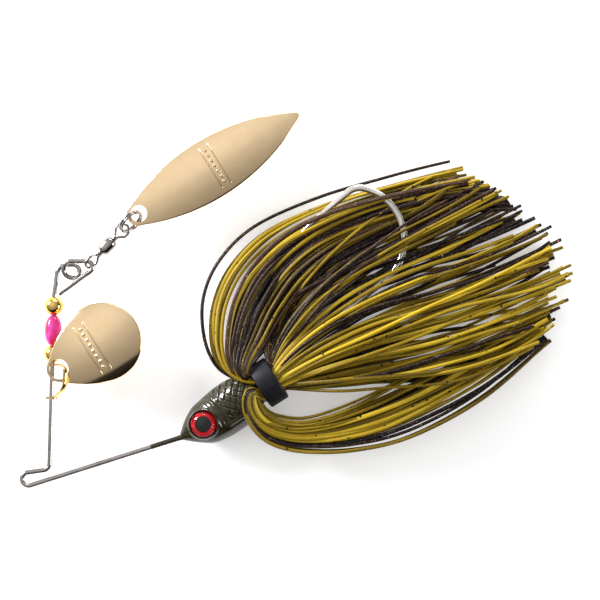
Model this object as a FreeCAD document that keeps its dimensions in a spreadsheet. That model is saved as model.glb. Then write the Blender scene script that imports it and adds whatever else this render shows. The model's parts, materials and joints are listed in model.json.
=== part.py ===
import FreeCAD, Part
import math
import os

# Spinnerbait, millimetres. It lies on its side: +Z up, the wire frame and the hook in one plane
# parallel to XY at the height "plane", the line tie towards -X and the skirt tips towards +X.
# The origin is the middle of the outline in XY, on the surface that the lure lies on.

Vector = FreeCAD.Vector
UP = Vector(0, 0, 1)

doc = FreeCAD.newDocument("Spinnerbait")
sheet = doc.addObject("Spreadsheet::Sheet", "Sizes")

SIZES = {
    # heights and the wire frame
    "plane": 4.4, "wire_radius": 0.45, "tie_radius": 1.2, "elbow_radius": 1.3, "coil_climb": 1.05,
    "coil_radius": 1.2, "coil_return_radius": 1.6, "eye_radius": 1.05,
    # hook
    "hook_radius": 0.55, "hook_eye_radius": 1.25, "hook_eye_wire": 0.5, "point_length": 4.2,
    "point_radius": 0.06, "barb_thickness": 0.5,
    # head, eyes and collar
    "neck_radius": 2.1, "neck_start": 15.4, "neck_end": 21.2, "keeper_radius": 2.4, "keeper_length": 0.6,
    "eye_along": 4.6, "eye_size": 2.35, "socket_size": 2.42, "socket_floor": 2.7, "foil_thickness": 0.25,
    "dome_height": 1.2,
    # skirt band and the strands gathered under it
    "band_radius": 4.2, "core_radius": 3.0, "band_length": 3.7, "core_length": 4.0, "band_along": 18.25,
    # beads
    "bead_bore": 0.53, "top_bead_radius": 1.7, "oval_radius": 1.55, "oval_half_length": 2.9,
    "low_bead_radius": 1.55,
    # clevis
    "strip_half_width": 0.5, "strip_half_thickness": 0.2, "ear_radius": 1.2, "ear_thickness": 0.4,
    # blades
    "round_thickness": 0.5, "round_long": 26.0, "round_cross": 12.8, "round_hole": 1.65,
    "willow_thickness": 0.45, "willow_long": 120.0, "willow_cross": 12.5, "willow_hole": 1.5,
    # swivel and split ring
    "arm_ring_radius": 1.2, "arm_ring_wire": 0.22, "blade_ring_radius": 1.15, "blade_ring_wire": 0.24,
    "barrel_radius": 1.18, "barrel_length": 3.3, "barrel_wall": 0.35, "barrel_end": 0.45,
    "stem_radius": 0.3, "stem_hole": 0.38, "stem_head_radius": 0.7, "stem_head_length": 0.5,
    "split_ring_radius": 2.25, "split_ring_wire": 0.25,
    # skirt bundles
    "layer_top": 12.0, "layer_over_hook": 6.7, "layer_under_hook": 2.1,
}
for row, (alias, value) in enumerate(SIZES.items(), start=1):
    sheet.set(f"A{row}", alias)
    sheet.set(f"B{row}", str(value))
    sheet.setAlias(f"B{row}", alias)
doc.recompute()


def size(alias):
    """The number that the sheet holds under this alias."""
    return float(sheet.get(alias))


def bind(thing, **formulas):
    """Bind properties to formulas; a word in braces stands for a cell of the sheet."""
    for prop, formula in formulas.items():
        thing.setExpression(prop, formula.replace("{", "<<Sizes>>.").replace("}", ""))
    return thing


def named(thing, label):
    thing.Label = label
    return thing


def direction(degrees):
    """Unit vector in the XY plane at this angle from +X."""
    angle = math.radians(degrees)
    return Vector(math.cos(angle), math.sin(angle), 0)


def frame_at(origin, x_axis, z_axis):
    """Placement whose local X and Z axes point along x_axis and z_axis."""
    return FreeCAD.Placement(origin, FreeCAD.Rotation(x_axis, Vector(), z_axis, "XZY"))


def cylinder(name, radius, height, place):
    solid = bind(doc.addObject("Part::Cylinder", name), Radius=radius, Height=height)
    solid.Placement = place
    return solid


def sphere(name, radius, place):
    solid = bind(doc.addObject("Part::Sphere", name), Radius=radius)
    solid.Placement = place
    return solid


def torus(name, major, minor, place):
    solid = bind(doc.addObject("Part::Torus", name), Radius1=major, Radius2=minor)
    solid.Placement = place
    return solid


def cut(name, base, tool):
    solid = doc.addObject("Part::Cut", name)
    solid.Base = base
    solid.Tool = tool
    return solid


def common(name, first, second):
    solid = doc.addObject("Part::MultiCommon", name)
    solid.Shapes = [first, second]
    return solid


def fuse(name, pieces):
    solid = doc.addObject("Part::MultiFuse", name)
    solid.Shapes = pieces
    return solid


def route(start, heading, moves):
    """Edges of a bent wire: ("run", length) goes straight on, ("turn", radius, degrees, climb) is an
    arc to the left, or to the right where degrees is negative. Only a half turn can climb."""
    point = Vector(start)
    ahead = Vector(heading).normalize()
    edges = []
    for move in moves:
        if move[0] == "run":
            end = point + ahead * move[1]
            edges.append(Part.LineSegment(point, end).toShape())
            point = end
            continue
        radius, degrees, climb = move[1:]
        tilt = math.asin(climb / (2 * radius))
        left = UP.cross(ahead)
        side = math.copysign(1, degrees)
        axis = (UP * math.cos(tilt) - left * (side * math.sin(tilt))) * side
        centre = point + axis.cross(ahead) * radius
        spoke = point - centre
        middle = centre + FreeCAD.Rotation(axis, abs(degrees) / 2).multVec(spoke)
        end = centre + FreeCAD.Rotation(axis, abs(degrees)).multVec(spoke)
        edges.append(Part.Arc(point, middle, end).toShape())
        ahead = FreeCAD.Rotation(axis, abs(degrees)).multVec(ahead)
        point = end
    return edges, point, ahead


def swept(name, edges, profile_kind, sizes, flat=UP):
    """A solid of one section swept along the route; flat is the section's long direction."""
    spine = doc.addObject("Part::Feature", name + "_route")
    spine.Shape = Part.Wire(edges)
    first = edges[0]
    start = first.valueAt(first.FirstParameter)
    ahead = first.tangentAt(first.FirstParameter)
    profile = bind(doc.addObject(profile_kind, name + "_section"), **sizes)
    profile.Placement = frame_at(start, flat, ahead)
    solid = doc.addObject("Part::Sweep", name + "_sweep")
    solid.Sections = [profile]
    solid.Spine = (spine, [f"Edge{number}" for number in range(1, len(edges) + 1)])
    solid.Solid = True
    solid.Frenet = False
    return solid


def outline_body(name, outline, length, place, midplane=False):
    """A flat piece: a closed outline of lines (2 points) and arcs (3 points), padded to length."""
    body = doc.addObject("PartDesign::Body", name)
    sketch = body.newObject("Sketcher::SketchObject", name + "_outline")
    base = next(item for item in body.Origin.OriginFeatures if item.Role == "XY_Plane")
    sketch.AttachmentSupport = (base, [""])
    sketch.MapMode = "FlatFace"
    for points in outline:
        corners = [Vector(x, y, 0) for x, y in points]
        sketch.addGeometry(Part.LineSegment(*corners) if len(corners) == 2 else Part.Arc(*corners), False)
    pad = body.newObject("PartDesign::Pad", name + "_pad")
    pad.Profile = sketch
    pad.Midplane = midplane
    bind(pad, Length=length)
    body.Tip = pad
    body.Placement = place
    return body


PLANE = size("plane")
PARTS = []

# ---------------------------------------------------------------- axes shared by the pieces
HEAD_ANGLE = 32.5
NOSE = Vector(-20.88, -24.73, PLANE)
head_ahead = direction(HEAD_ANGLE)
head_left = direction(HEAD_ANGLE + 90)

HOOK_EYE_ALONG = 8.0
hook_eye = NOSE + head_ahead * HOOK_EYE_ALONG

# ---------------------------------------------------------------- wire frame
LOWER_ARM_ANGLE = 17.68
UPPER_ARM_ANGLE = 88.4
TIE_RUN_ANGLE = 8.0
NECK_ANGLE = 82.2
TAIL_TURN = 144.0
INNER_BEND = 1.0
inner_turn = HEAD_ANGLE - 90 + 360 - (180 + LOWER_ARM_ANGLE)
arm_reach = HOOK_EYE_ALONG / math.cos(math.radians(HEAD_ANGLE - LOWER_ARM_ANGLE))
leg_drop = arm_reach * math.sin(math.radians(HEAD_ANGLE - LOWER_ARM_ANGLE))
LEG_END = 1.6
inner_tangent = INNER_BEND * math.tan(math.radians(inner_turn / 2))
LOWER_ARM_LENGTH = 28.69
frame_edges, _, _ = route(
    hook_eye + head_left * LEG_END, head_left * -1,
    [
        ("run", LEG_END + leg_drop - inner_tangent),
        ("turn", INNER_BEND, -inner_turn, 0),
        ("run", LOWER_ARM_LENGTH + arm_reach - inner_tangent),
        ("turn", size("tie_radius"), -(180 + LOWER_ARM_ANGLE - TIE_RUN_ANGLE), 0),
        ("run", 2.85),
        ("turn", size("elbow_radius"), UPPER_ARM_ANGLE - TIE_RUN_ANGLE, 0),
        ("run", 30.2),
        ("turn", 3.0, NECK_ANGLE - UPPER_ARM_ANGLE, 0),
        ("run", 3.8),
        ("turn", 1.7, -NECK_ANGLE, 0),
        ("run", 1.12),
        ("turn", size("coil_radius"), -180, 0),
        ("turn", size("coil_return_radius"), -180, size("coil_climb")),
        ("run", 2.6),
        ("turn", size("eye_radius"), -TAIL_TURN, 0),
        ("run", 6.9),
    ])
wire_frame = swept("wire_frame", frame_edges, "Part::Circle", {"Radius": "{wire_radius}"})
PARTS.append(named(wire_frame, "wire_frame"))

# The upper arm's own line carries the clevis and the beads; the end eye carries the swivel.
arm_edge = frame_edges[6]
arm_ahead = arm_edge.tangentAt(arm_edge.FirstParameter)
arm_foot = arm_edge.valueAt(arm_edge.FirstParameter)
eye_edge = frame_edges[14]
eye_centre = eye_edge.Curve.Center

# ---------------------------------------------------------------- hook
SHANK_ANGLE = 38.8
hook_edges, spear_end, spear_ahead = route(
    hook_eye + direction(SHANK_ANGLE) * size("hook_eye_radius"), direction(SHANK_ANGLE),
    [
        ("run", 37.3),
        ("turn", 8.0, 38.2, 0),
        ("run", 0.5),
        ("turn", 9.5, 89.0, 0),
        ("turn", 3.3, 54.6, 0),
        ("run", 7.7),
    ])
hook_bar = swept("hook", hook_edges, "Part::Circle", {"Radius": "{hook_radius}"})
hook_ring = torus("hook_ring", "{hook_eye_radius}", "{hook_eye_wire}",
                  frame_at(hook_eye, UP, head_left))
hook_point = bind(doc.addObject("Part::Cone", "hook_point"), Radius1="{hook_radius}",
                  Radius2="{point_radius}", Height="{point_length}")
hook_point.Placement = frame_at(spear_end, UP, spear_ahead)
BARB_OUTLINE = [[(-1.2, 0.35), (1.3, 0.3)], [(1.3, 0.3), (-1.2, 1.35)], [(-1.2, 1.35), (-1.2, 0.35)]]
barb_start = spear_end - spear_ahead * 1.3
hook_barb = outline_body("hook_barb", BARB_OUTLINE, "{barb_thickness}",
                         frame_at(barb_start, spear_ahead, UP), midplane=True)
hook = fuse("hook", [hook_bar, hook_ring, hook_point, hook_barb])
PARTS.append(named(hook, "hook"))

# ---------------------------------------------------------------- lead head
# Each section: distance behind the nose, half height, half thickness, drop below the head's axis.
HEAD_SECTIONS = [(0, 0.75, 0.7, 0), (1.7, 2.2, 1.8, 0.05), (4.2, 3.75, 2.9, 0.2), (6.8, 4.3, 3.6, 0.25),
                 (9.6, 4.55, 4.0, 0.1), (12.2, 4.4, 4.0, 0), (14.4, 3.6, 3.4, 0), (16.0, 2.6, 2.6, 0)]
sections = []
for number, (along, half_height, half_thickness, drop) in enumerate(HEAD_SECTIONS):
    oval = doc.addObject("Part::Ellipse", f"head_section_{number}")
    oval.MajorRadius = half_height
    oval.MinorRadius = half_thickness
    middle = NOSE + head_ahead * along - head_left * drop
    oval.Placement = frame_at(middle, head_left, head_ahead)
    sections.append(oval)
head_loft = doc.addObject("Part::Loft", "head_loft")
head_loft.Sections = sections
head_loft.Solid = True
neck_place = frame_at(NOSE + head_ahead * size("neck_start"), UP, head_ahead)
neck = cylinder("head_neck", "{neck_radius}", "{neck_end} - {neck_start}", neck_place)
keeper = bind(doc.addObject("Part::Cone", "head_keeper"), Radius1="{keeper_radius}",
              Radius2="{neck_radius}", Height="{keeper_length}")
keeper.Placement = frame_at(NOSE + head_ahead * (size("neck_end") - size("keeper_length")), UP, head_ahead)
head_blank = fuse("head_blank", [head_loft, neck, keeper])

eye_middle = NOSE + head_ahead * size("eye_along")
sockets = []
for side, lift in (("left", 1), ("right", -1)):
    outward = UP * lift
    place = frame_at(eye_middle + outward * size("socket_floor"), head_ahead, outward)
    sockets.append(cylinder("socket_" + side, "{socket_size}", "{socket_floor}", place))
    foil = cylinder("eye_foil_" + side, "{eye_size}", "{foil_thickness}", place)
    PARTS.append(named(foil, "eye_foil_" + side))
    foil_top = size("socket_floor") + size("foil_thickness")
    dome_place = frame_at(eye_middle + outward * foil_top, head_ahead, outward)
    rise = size("dome_height")
    ball_radius = (size("eye_size") ** 2 + rise ** 2) / (2 * rise)
    ball = sphere("dome_ball_" + side, "({eye_size}^2 + {dome_height}^2) / (2 * {dome_height})",
                  frame_at(eye_middle + outward * (foil_top + rise - ball_radius), head_ahead, outward))
    rim = cylinder("dome_rim_" + side, "{eye_size}", "{dome_height} * 2", dome_place)
    PARTS.append(named(common("eye_dome_" + side, ball, rim), "eye_dome_" + side))
hollow = fuse("head_hollow", [wire_frame, hook] + sockets)
lead_head = cut("lead_head", head_blank, hollow)
PARTS.append(named(lead_head, "lead_head"))

# ---------------------------------------------------------------- skirt collar
band_middle = NOSE + head_ahead * size("band_along")


def collar_ring(name, outer, inner, length):
    half = size(length) / 2
    place = frame_at(band_middle - head_ahead * half, UP, head_ahead)
    whole = cylinder(name + "_outer", "{" + outer + "}", "{" + length + "}", place)
    bore = cylinder(name + "_bore", "{" + inner + "}", "{" + length + "}", place)
    return named(cut(name, whole, bore), name)


PARTS.append(collar_ring("skirt_core", "core_radius", "neck_radius", "core_length"))
PARTS.append(collar_ring("skirt_band", "band_radius", "core_radius", "band_length"))

# ---------------------------------------------------------------- beads on the upper arm
TOP_BEAD_RISE = 28.3


def arm_place(rise):
    """Placement on the upper arm, this far above its lower bend, with local Z along the wire."""
    return frame_at(arm_foot + arm_ahead * rise, UP, arm_ahead)


def bored(name, blank, half_length, rise):
    bore = cylinder(name + "_bore", "{bead_bore}", f"2 * {half_length}", arm_place(rise - half_length))
    return named(cut(name, blank, bore), name)


top_ball = sphere("top_bead_ball", "{top_bead_radius}", arm_place(TOP_BEAD_RISE))
PARTS.append(bored("top_bead", top_ball, size("top_bead_radius"), TOP_BEAD_RISE))

OVAL_RISE = TOP_BEAD_RISE - 4.4
oval_ball = bind(doc.addObject("Part::Ellipsoid", "oval_ball"), Radius1="{oval_half_length}",
                 Radius2="{oval_radius}", Radius3="{oval_radius}")
oval_ball.Placement = arm_place(OVAL_RISE)
PARTS.append(bored("oval_bead", oval_ball, size("oval_half_length"), OVAL_RISE))

LOW_BEAD_RISE = TOP_BEAD_RISE - 8.62
low_ball = sphere("low_bead_ball", "{low_bead_radius}", arm_place(LOW_BEAD_RISE))
PARTS.append(bored("lower_bead", low_ball, size("low_bead_radius"), LOW_BEAD_RISE))

# ---------------------------------------------------------------- clevis
CLEVIS_RISE = TOP_BEAD_RISE - 13.5
CLEVIS_TILT = 50.0
EAR_OFFSET = 3.0
BOW_REACH = 4.4
arm_right = arm_ahead.cross(UP)
bow_side = arm_right * math.cos(math.radians(CLEVIS_TILT)) + UP * math.sin(math.radians(CLEVIS_TILT))
bow_normal = bow_side.cross(arm_ahead) * -1
clevis_middle = arm_foot + arm_ahead * CLEVIS_RISE


def bow_point(out, along):
    """Point of the clevis's own plane: out from the wire, along it."""
    return clevis_middle + bow_side * out + arm_ahead * along


def rounded(corners, radii):
    """Edges of a polyline whose inner corners are rounded to the radii."""
    edges = []
    last = corners[0]
    for before, corner, after, radius in zip(corners, corners[1:], corners[2:], radii):
        back = (before - corner).normalize()
        on = (after - corner).normalize()
        half = back.getAngle(on) / 2
        reach = radius / math.tan(half)
        centre = corner + (back + on).normalize() * (radius / math.sin(half))
        middle = centre + (corner - centre).normalize() * radius
        edges.append(Part.LineSegment(last, corner + back * reach).toShape())
        edges.append(Part.Arc(corner + back * reach, middle, corner + on * reach).toShape())
        last = corner + on * reach
    edges.append(Part.LineSegment(last, corners[-1]).toShape())
    return edges


bow_edges = rounded(
    [bow_point(0.8, EAR_OFFSET), bow_point(BOW_REACH, EAR_OFFSET), bow_point(BOW_REACH, -1.0),
     bow_point(0.8, -EAR_OFFSET)], [1.5, 1.8])
bow = swept("clevis", bow_edges, "Part::Ellipse",
            {"MajorRadius": "{strip_half_width}", "MinorRadius": "{strip_half_thickness}"}, bow_normal)
ears = []
for side in (1, -1):
    rise = CLEVIS_RISE + side * EAR_OFFSET - size("ear_thickness") / 2
    ears.append(cylinder("clevis_ear", "{ear_radius}", "{ear_thickness}", arm_place(rise)))
clevis_blank = fuse("clevis_blank", [bow] + ears)
clevis_bore = cylinder("clevis_bore", "{bead_bore}", "10", arm_place(CLEVIS_RISE - 5))
PARTS.append(named(cut("clevis", clevis_blank, clevis_bore), "clevis"))


# ---------------------------------------------------------------- blades
def blade(name, outline, middle, long_radius, cross_radius, thickness, hole, place):
    """A stamped blade: its outline cut from a shell that is bent both ways, with its hole at the
    local origin. The middle of the shell is the highest, this far along local X."""
    high = middle ** 2 / (2 * size(long_radius))
    centre = place.multiply(frame_at(Vector(middle, 0, high - size(long_radius)), Vector(1, 0, 0),
                                     Vector(0, 1, 0)))
    big = torus(name + "_outer", f"{{{long_radius}}} - {{{cross_radius}}}",
                f"{{{cross_radius}}} + {{{thickness}}} / 2", centre)
    small = torus(name + "_inner", f"{{{long_radius}}} - {{{cross_radius}}}",
                  f"{{{cross_radius}}} - {{{thickness}}} / 2", centre)
    shell = cut(name + "_shell", big, small)
    prism = outline_body(name + "_prism", outline, "16", place, midplane=True)
    sheet_metal = common(name + "_sheet", prism, shell)
    punch_place = place.multiply(FreeCAD.Placement(Vector(0, 0, -4), FreeCAD.Rotation()))
    punch = cylinder(name + "_punch", f"{{{hole}}}", "8", punch_place)
    return named(cut(name, sheet_metal, punch), name)


def mirrored_outline(near, shoulder_middle, shoulder, far_middle, tip):
    """Outline of a blade that is the same on both sides of local X: the rounded hole end, the
    flanks and the far end."""
    def down(point):
        return (point[0], -point[1])
    flank_up = [near[1], shoulder_middle, shoulder]
    far_up = [shoulder, far_middle, tip]
    rows = [[down(near[1]), near[0], near[1]], flank_up, far_up]
    if tip[1] > 0:
        rows.append([tip, down(tip)])
    rows.append([down(tip), down(far_middle), down(shoulder)])
    rows.append([down(shoulder), down(shoulder_middle), down(near[1])])
    return rows


ROUND_ANGLE = 32.0
ROUND_HOLE = Vector(-42.8, -12.44, PLANE + 2.45)
round_outline = mirrored_outline([(-2.35, 0), (-1.1, 2.08)], (2.8, 5.0), (6.5, 6.6),
                                 (9.1 + 7.1 * math.cos(math.radians(55)), 7.1 * math.sin(math.radians(55))),
                                 (16.2, 0))
round_place = frame_at(ROUND_HOLE, direction(ROUND_ANGLE), UP)
PARTS.append(blade("colorado_blade", round_outline, 8.6, "round_long", "round_cross", "round_thickness",
                   "round_hole", round_place))

SWIVEL_ANGLE = 45.5
swivel_ahead = direction(SWIVEL_ANGLE)
swivel_left = direction(SWIVEL_ANGLE + 90)


def swivel_point(along):
    return eye_centre + swivel_ahead * along


WILLOW_ANGLE = 32.0
WILLOW_HOLE_ALONG = 13.4
willow_outline = mirrored_outline([(-2.25, 0), (-0.84, 2.09)], (6.5, 4.44), (14.8, 5.35), (24.5, 4.05),
                                  (33.6, 0.4))
willow_place = frame_at(swivel_point(WILLOW_HOLE_ALONG), direction(WILLOW_ANGLE), UP)
PARTS.append(blade("willow_blade", willow_outline, 14.8, "willow_long", "willow_cross",
                   "willow_thickness", "willow_hole", willow_place))

# ---------------------------------------------------------------- swivel and split ring
ARM_RING_TILT = 55.0
BLADE_RING_TILT = 8.0
SPLIT_RING_TILT = 68.0
BARREL_START = 3.65
BLADE_RING_ALONG = 9.25
SPLIT_RING_ALONG = 11.35


def ring_place(along, tilt):
    """Placement of a ring in a plane that holds the swivel's axis, turned about it by the tilt."""
    angle = math.radians(tilt)
    normal = UP * math.cos(angle) - swivel_left * math.sin(angle)
    return frame_at(swivel_point(along), swivel_ahead, normal)


def swivel_eye(name, ring_radius, ring_wire, ring_along, tilt, inner_end, side):
    """A wire eye with its stem and the head that keeps the stem in the barrel; side is +1 where the
    eye lies ahead of the barrel."""
    ring = torus(name + "_ring", f"{{{ring_radius}}}", f"{{{ring_wire}}}", ring_place(ring_along, tilt))
    stem_start = ring_along - side * size(ring_radius)
    towards = swivel_ahead * -side
    stem_length = abs(stem_start - inner_end)
    stem = cylinder(name + "_stem", "{stem_radius}", str(stem_length),
                    frame_at(swivel_point(stem_start), UP, towards))
    head = cylinder(name + "_head", "{stem_head_radius}", "{stem_head_length}",
                    frame_at(swivel_point(inner_end), UP, towards * -1))
    return named(fuse(name, [ring, stem, head]), name)


HEAD_GAP = 0.08
barrel_end = BARREL_START + size("barrel_length")
arm_head_at = BARREL_START + size("barrel_end") + HEAD_GAP + size("stem_head_length")
blade_head_at = barrel_end - size("barrel_end") - HEAD_GAP - size("stem_head_length")
PARTS.append(swivel_eye("swivel_arm_eye", "arm_ring_radius", "arm_ring_wire", size("arm_ring_radius"),
                        ARM_RING_TILT, arm_head_at, -1))
PARTS.append(swivel_eye("swivel_blade_eye", "blade_ring_radius", "blade_ring_wire", BLADE_RING_ALONG,
                        BLADE_RING_TILT, blade_head_at, 1))

barrel_place = frame_at(swivel_point(BARREL_START), UP, swivel_ahead)
barrel_bar = cylinder("barrel_bar", "{barrel_radius}", "{barrel_length}", barrel_place)
barrel_round = doc.addObject("Part::Fillet", "barrel_round")
barrel_round.Base = barrel_bar
doc.recompute()
END_ROUND = 0.45
barrel_round.Edges = [(number, END_ROUND, END_ROUND) for number, edge in enumerate(barrel_bar.Shape.Edges, 1)
                      if isinstance(edge.Curve, Part.Circle)]
cavity = cylinder("barrel_cavity", "{barrel_radius} - {barrel_wall}", "{barrel_length} - 2 * {barrel_end}",
                  frame_at(swivel_point(BARREL_START + size("barrel_end")), UP, swivel_ahead))
passage = cylinder("barrel_passage", "{stem_hole}", "{barrel_length}", barrel_place)
PARTS.append(named(cut("swivel_barrel", barrel_round, fuse("barrel_hollow", [cavity, passage])),
                   "swivel_barrel"))

turns = []
for side in (1, -1):
    place = ring_place(SPLIT_RING_ALONG, SPLIT_RING_TILT)
    shift = place.Rotation.multVec(Vector(0, 0, side * 0.92 * size("split_ring_wire")))
    turns.append(torus("split_ring_turn", "{split_ring_radius}", "{split_ring_wire}",
                       FreeCAD.Placement(place.Base + shift, place.Rotation)))
PARTS.append(named(fuse("split_ring", turns), "split_ring"))

# ---------------------------------------------------------------- skirt bundles
# Each fan bundle lies between two of these curves, from the collar to the tips.
FAN_CURVES = [
    [(-2.9, -12.2), (9.3, 7.2), (32.5, 20.6)],
    [(-2.1, -12.7), (13.0, 4.0), (40.5, 17.6)],
    [(-1.4, -13.5), (17.0, -0.6), (47.0, 13.0)],
    [(-0.9, -14.3), (20.0, -7.0), (50.2, 6.5)],
    [(-0.4, -15.2), (23.0, -13.0), (49.8, -1.6)],
]


def bundle(name, outline, bottom, height):
    place = FreeCAD.Placement(Vector(0, 0, bottom), FreeCAD.Rotation())
    PARTS.append(named(outline_body(name, outline, height, place), name))


for number, (upper, lower) in enumerate(zip(FAN_CURVES, FAN_CURVES[1:]), start=1):
    fan = [upper, [upper[-1], lower[-1]], lower[::-1], [lower[0], upper[0]]]
    bundle(f"skirt_fan_top_{number}", fan, size("layer_over_hook"), "{layer_top} - {layer_over_hook}")
    bundle(f"skirt_fan_bottom_{number}", fan, 0, "{layer_under_hook}")

# The loops leave the front of the collar, turn back outside the head and run to the tips.
UPPER_LOOP = [
    [(-8.6, -10.7), (-16.6, -1.8), (-6.6, 13.4)],
    [(-6.6, 13.4), (8.0, 20.6), (27.8, 24.9)],
    [(27.8, 24.9), (29.3, 22.2)],
    [(29.3, 22.2), (12.0, 16.6), (-1.5, 11.5)],
    [(-1.5, 11.5), (-11.2, -1.2), (-7.4, -10.2)],
    [(-7.4, -10.2), (-8.6, -10.7)],
]
LOWER_LOOP = [
    [(-4.4, -19.8), (-7.6, -23.2), (-4.2, -26.6)],
    [(-4.2, -26.6), (17.5, -25.6), (45.2, -6.4)],
    [(45.2, -6.4), (46.0, -4.9)],
    [(46.0, -4.9), (17.0, -19.4), (-1.4, -20.6)],
    [(-1.4, -20.6), (-3.0, -20.4), (-4.4, -19.8)],
]
ABOVE_HOOK = PLANE + 0.9
bundle("skirt_upper_loop_top", UPPER_LOOP, ABOVE_HOOK, f"{{layer_top}} - {ABOVE_HOOK} - 0.4")
bundle("skirt_upper_loop_bottom", UPPER_LOOP, 0, "{plane} - 0.9")
bundle("skirt_lower_loop_top", LOWER_LOOP, PLANE, "{layer_top} - {plane} - 0.6")
bundle("skirt_lower_loop_bottom", LOWER_LOOP, 0, "{plane}")

# ---------------------------------------------------------------- check and write
doc.recompute()
for thing in doc.Objects:
    if "Invalid" in thing.State or "Error" in thing.State:
        raise RuntimeError(f"{thing.Name} failed: {thing.State}")
os.makedirs("parts", exist_ok=True)
for part in PARTS:
    if part.Shape.isNull() or not part.Shape.isValid():
        raise RuntimeError(f"{part.Label} has no valid shape")
    name = part.Label
    part.Shape.exportStep(f"parts/{name}.step")
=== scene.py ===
import json
import math
import random

import bmesh
import bpy
import numpy as np
from mathutils import Matrix, Vector


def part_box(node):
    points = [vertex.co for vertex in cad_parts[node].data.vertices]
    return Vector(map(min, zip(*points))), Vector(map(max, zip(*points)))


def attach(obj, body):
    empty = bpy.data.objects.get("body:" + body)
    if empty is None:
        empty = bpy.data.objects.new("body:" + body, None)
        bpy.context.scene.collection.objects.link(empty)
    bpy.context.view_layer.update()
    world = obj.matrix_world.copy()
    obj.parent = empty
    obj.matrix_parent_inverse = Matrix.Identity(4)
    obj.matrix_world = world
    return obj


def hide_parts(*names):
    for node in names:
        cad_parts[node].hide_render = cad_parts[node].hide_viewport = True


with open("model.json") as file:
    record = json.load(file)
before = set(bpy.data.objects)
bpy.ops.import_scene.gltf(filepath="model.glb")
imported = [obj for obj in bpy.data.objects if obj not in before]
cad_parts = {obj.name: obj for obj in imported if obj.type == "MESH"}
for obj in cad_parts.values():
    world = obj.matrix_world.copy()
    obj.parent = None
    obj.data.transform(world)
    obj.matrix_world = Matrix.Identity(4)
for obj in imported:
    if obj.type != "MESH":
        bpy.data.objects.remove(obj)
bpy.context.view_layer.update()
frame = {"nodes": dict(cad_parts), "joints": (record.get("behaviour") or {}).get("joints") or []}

# Lengths in this script are millimetres, and MM turns them into the scene's metres.
MM = 0.001
UP = np.array([0.0, 0.0, 1.0])
rng = random.Random(7)


def box_mm(node):
    """Lowest and highest corner of a CAD node, in millimetres."""
    low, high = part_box(node)
    return np.array(low) / MM, np.array(high) / MM


def direction(degrees):
    angle = math.radians(degrees)
    return np.array([math.cos(angle), math.sin(angle), 0.0])


def unit(vector):
    return vector / np.linalg.norm(vector)


def smoothstep(low, high, value):
    t = np.clip((value - low) / (high - low), 0, 1)
    return t * t * (3 - 2 * t)


def travelled_along(points):
    """Distance from the first point to each point of a path."""
    return np.concatenate([[0], np.cumsum(np.linalg.norm(np.diff(points, axis=0), axis=1))])


# ---------------- camera, floor and light
WIRE_RADIUS = 0.45
PLANE = box_mm("wire_frame")[0][2] + WIRE_RADIUS
VIEW_CENTRE = (0.27, -0.09)
VIEW_HEIGHT = 300.0

camera_data = bpy.data.cameras.new("camera")
camera_data.lens = 100
camera_data.sensor_width = 36
camera_data.clip_start = 0.005
camera = bpy.data.objects.new("camera", camera_data)
camera.location = (VIEW_CENTRE[0] * MM, VIEW_CENTRE[1] * MM, (PLANE + VIEW_HEIGHT) * MM)
bpy.context.scene.collection.objects.link(camera)
bpy.context.scene.camera = camera


def shader(name):
    """A new material and its Principled shader."""
    made = bpy.data.materials.new(name)
    made.use_nodes = True
    return made, made.node_tree.nodes["Principled BSDF"]


def set_inputs(node, **values):
    """Set a shader's inputs; an underscore in a keyword stands for a space in the input's name."""
    for name, value in values.items():
        node.inputs[name.replace("_", " ")].default_value = value


def nodes_of(made):
    return made.node_tree.nodes, made.node_tree.links


def ramp(made, factor, stops):
    """Colour ramp; each stop is (position, (r, g, b)) or (position, grey)."""
    nodes, links = nodes_of(made)
    band = nodes.new("ShaderNodeValToRGB")
    elements = band.color_ramp.elements
    while len(elements) < len(stops):
        elements.new(0.5)
    for element, (position, colour) in zip(elements, stops):
        rgb = colour if isinstance(colour, tuple) else (colour, colour, colour)
        element.position = position
        element.color = (*rgb, 1)
    links.new(factor, band.inputs["Fac"])
    return band.outputs["Color"]


def link_object(name, mesh):
    thing = bpy.data.objects.new(name, mesh)
    bpy.context.scene.collection.objects.link(thing)
    return thing


def add_floor():
    half = 1.5
    corners = [(-half, -half, 0), (half, -half, 0), (half, half, 0), (-half, half, 0)]
    mesh = bpy.data.meshes.new("floor")
    mesh.from_pydata(corners, [], [(0, 1, 2, 3)])
    floor = link_object("floor", mesh)
    paint, surface = shader("floor_paint")
    set_inputs(surface, Base_Color=(0.93, 0.93, 0.93, 1), Roughness=0.9,
               Emission_Color=(1, 1, 1, 1), Emission_Strength=0.34)
    mesh.materials.append(paint)


def add_softbox(name, place, aim, width, depth, watts):
    data = bpy.data.lights.new(name, "AREA")
    data.shape = "RECTANGLE"
    data.size = width
    data.size_y = depth
    data.energy = watts
    lamp = link_object(name, data)
    lamp.location = place
    lamp.rotation_euler = (Vector(aim) - Vector(place)).to_track_quat("-Z", "Y").to_euler()


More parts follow.
